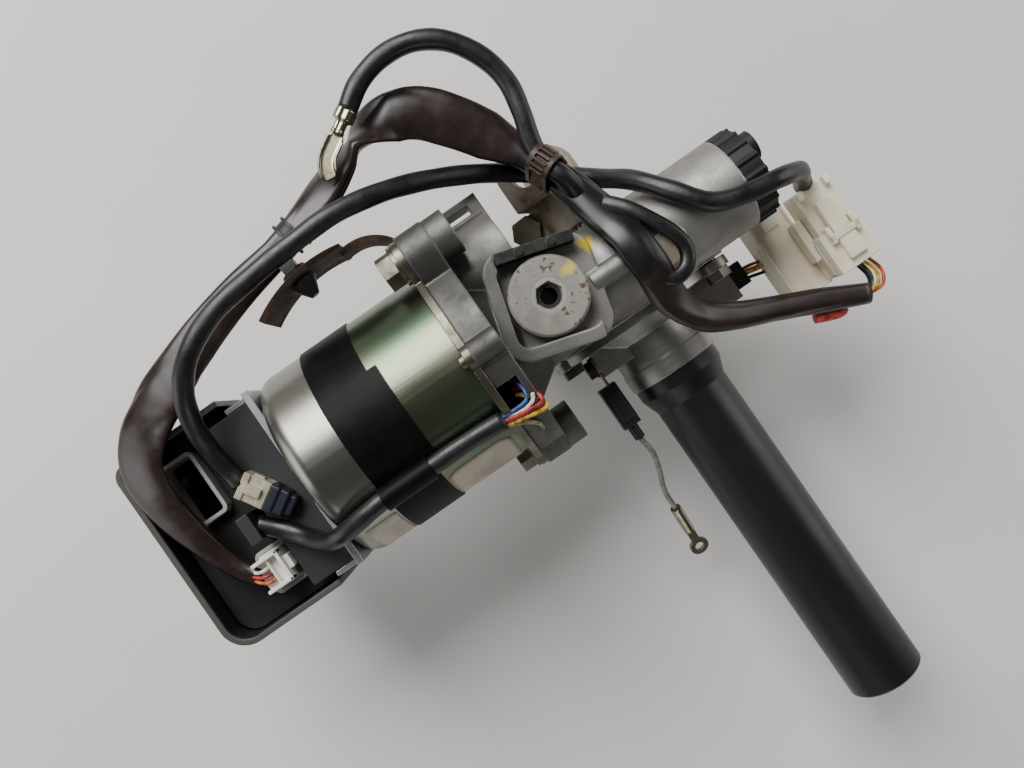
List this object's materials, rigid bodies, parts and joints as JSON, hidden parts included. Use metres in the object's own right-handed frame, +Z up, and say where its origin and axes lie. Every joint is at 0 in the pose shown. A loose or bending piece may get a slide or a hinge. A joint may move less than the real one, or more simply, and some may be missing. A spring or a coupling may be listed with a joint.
{
  "type": "electric power steering column",
  "caption": "Steering column with worm-drive housing, side-mounted assist motor and control unit, torque sensor collar, jacket tube, joint yoke and wiring loom.",
  "frame": {"origin": "Mouth of the thread in the upper pivot insert, on the pivot axis.", "axes": "X runs along the worm and motor axis, with the motor towards -X; Y runs along the column axis, with the joint yoke towards +Y and the jacket tube towards -Y; Z is up along the pivot axis."},
  "size_m": [0.3155, 0.346, 0.1592],
  "materials": {
    "cast_aluminium": "as-cast, dull",
    "turned_aluminium": "turned",
    "sheet_aluminium": "mill finish",
    "zinc_steel": "zinc plated",
    "chromated_steel": "yellow chromate over zinc",
    "machined_steel": "machined",
    "bearing_steel": "ground",
    "laminated_steel": "varnished laminations and winding",
    "ferrite": "sintered",
    "forged_steel": "forged, surface rust",
    "rusted_steel": "rusted",
    "dark_steel": "phosphated",
    "black_steel": "satin black paint",
    "tinned_steel": "tinned",
    "black_plastic": "moulded",
    "grey_plastic": "moulded",
    "light_grey_plastic": "moulded",
    "white_plastic": "moulded",
    "cream_plastic": "moulded",
    "brown_plastic": "moulded",
    "black_tape": "vinyl tape",
    "black_sleeve": "vinyl sleeve",
    "brown_sleeve": "vinyl sleeve",
    "grey_wire": "vinyl insulation",
    "black_rubber": "moulded",
    "green_board": "solder mask"
  },
  "bodies": {
    "housing": {"gear_housing": "cast_aluminium", "sensor_housing": "turned_aluminium", "housing_bolts": "zinc_steel", "column_tube": "black_steel", "tube_bush": "cream_plastic", "needle_bush": "bearing_steel", "bearing_outer_rings": "bearing_steel", "bearing_balls": "bearing_steel", "output_seal": "black_rubber", "worm_adjuster": "cast_aluminium", "worm_end_cap": "black_plastic", "torque_coil": "brown_plastic", "sensor_plug": "black_plastic", "motor_end_plate": "chromated_steel", "motor_can": "chromated_steel", "motor_magnets": "ferrite", "brush_plate": "brown_plastic", "motor_bolts": "zinc_steel", "pan_screws": "zinc_steel", "motor_tape": "black_tape", "motor_lead": "black_sleeve", "ecu_bracket": "sheet_aluminium", "ecu_base": "sheet_aluminium", "ecu_board": "green_board", "ecu_cover": "grey_plastic", "ecu_tray": "black_plastic", "ecu_sockets": "light_grey_plastic", "ecu_plug": "white_plastic", "sensor_coupler": "cream_plastic", "pivot_stop_bar": "dark_steel", "cable_bracket": "rusted_steel", "cable_clip": "black_plastic", "harness_ties": "brown_plastic", "harness_sleeve": "brown_sleeve", "signal_cable": "black_sleeve", "power_lead": "black_sleeve", "power_terminal": "tinned_steel", "ground_screw": "dark_steel", "ground_tongue": "tinned_steel", "ground_block": "black_plastic", "ground_wire": "grey_wire", "ground_terminal": "tinned_steel", "plug_block_lower": "white_plastic", "plug_block_upper": "white_plastic"},
    "pivot": {"pivot_bushes": "white_plastic", "pivot_inserts": "dark_steel"},
    "output": {"output_shaft": "machined_steel", "wheel_hub": "machined_steel", "wheel_rim": "cream_plastic", "output_bearing_ring": "bearing_steel", "yoke": "forged_steel", "yoke_bolt": "zinc_steel", "torsion_bar": "machined_steel"},
    "steering": {"steering_shaft": "machined_steel", "torque_ring": "ferrite"},
    "rotor": {"rotor_shaft": "machined_steel", "armature": "laminated_steel", "shaft_coupling": "machined_steel", "worm": "machined_steel", "rotor_bearing_rings": "bearing_steel"}
  },
  "joints": [
    {"name": "pivot_swivel", "type": "hinge", "parent": "housing", "child": "pivot", "pos_m": [0, 0, 0], "axis": [0, 0, 1], "range_deg": [-8, 8]},
    {"name": "motor_turn", "type": "hinge", "parent": "housing", "child": "rotor", "pos_m": [0.035, -0.003, -0.0295], "axis": [1, 0, 0], "continuous": true},
    {"name": "column_turn", "type": "hinge", "parent": "housing", "child": "output", "pos_m": [0.035, -0.003, -0.0715], "axis": [0, 1, 0], "continuous": true},
    {"name": "sensor_twist", "type": "hinge", "parent": "output", "child": "steering", "pos_m": [0.035, -0.033, -0.0715], "axis": [0, 1, 0], "range_deg": [-5, 5], "stiffness_Nm_per_rad": 120}
  ],
  "couplings": [
    {"joint": "column_turn", "follows": "motor_turn", "ratio": -0.060606}
  ]
}
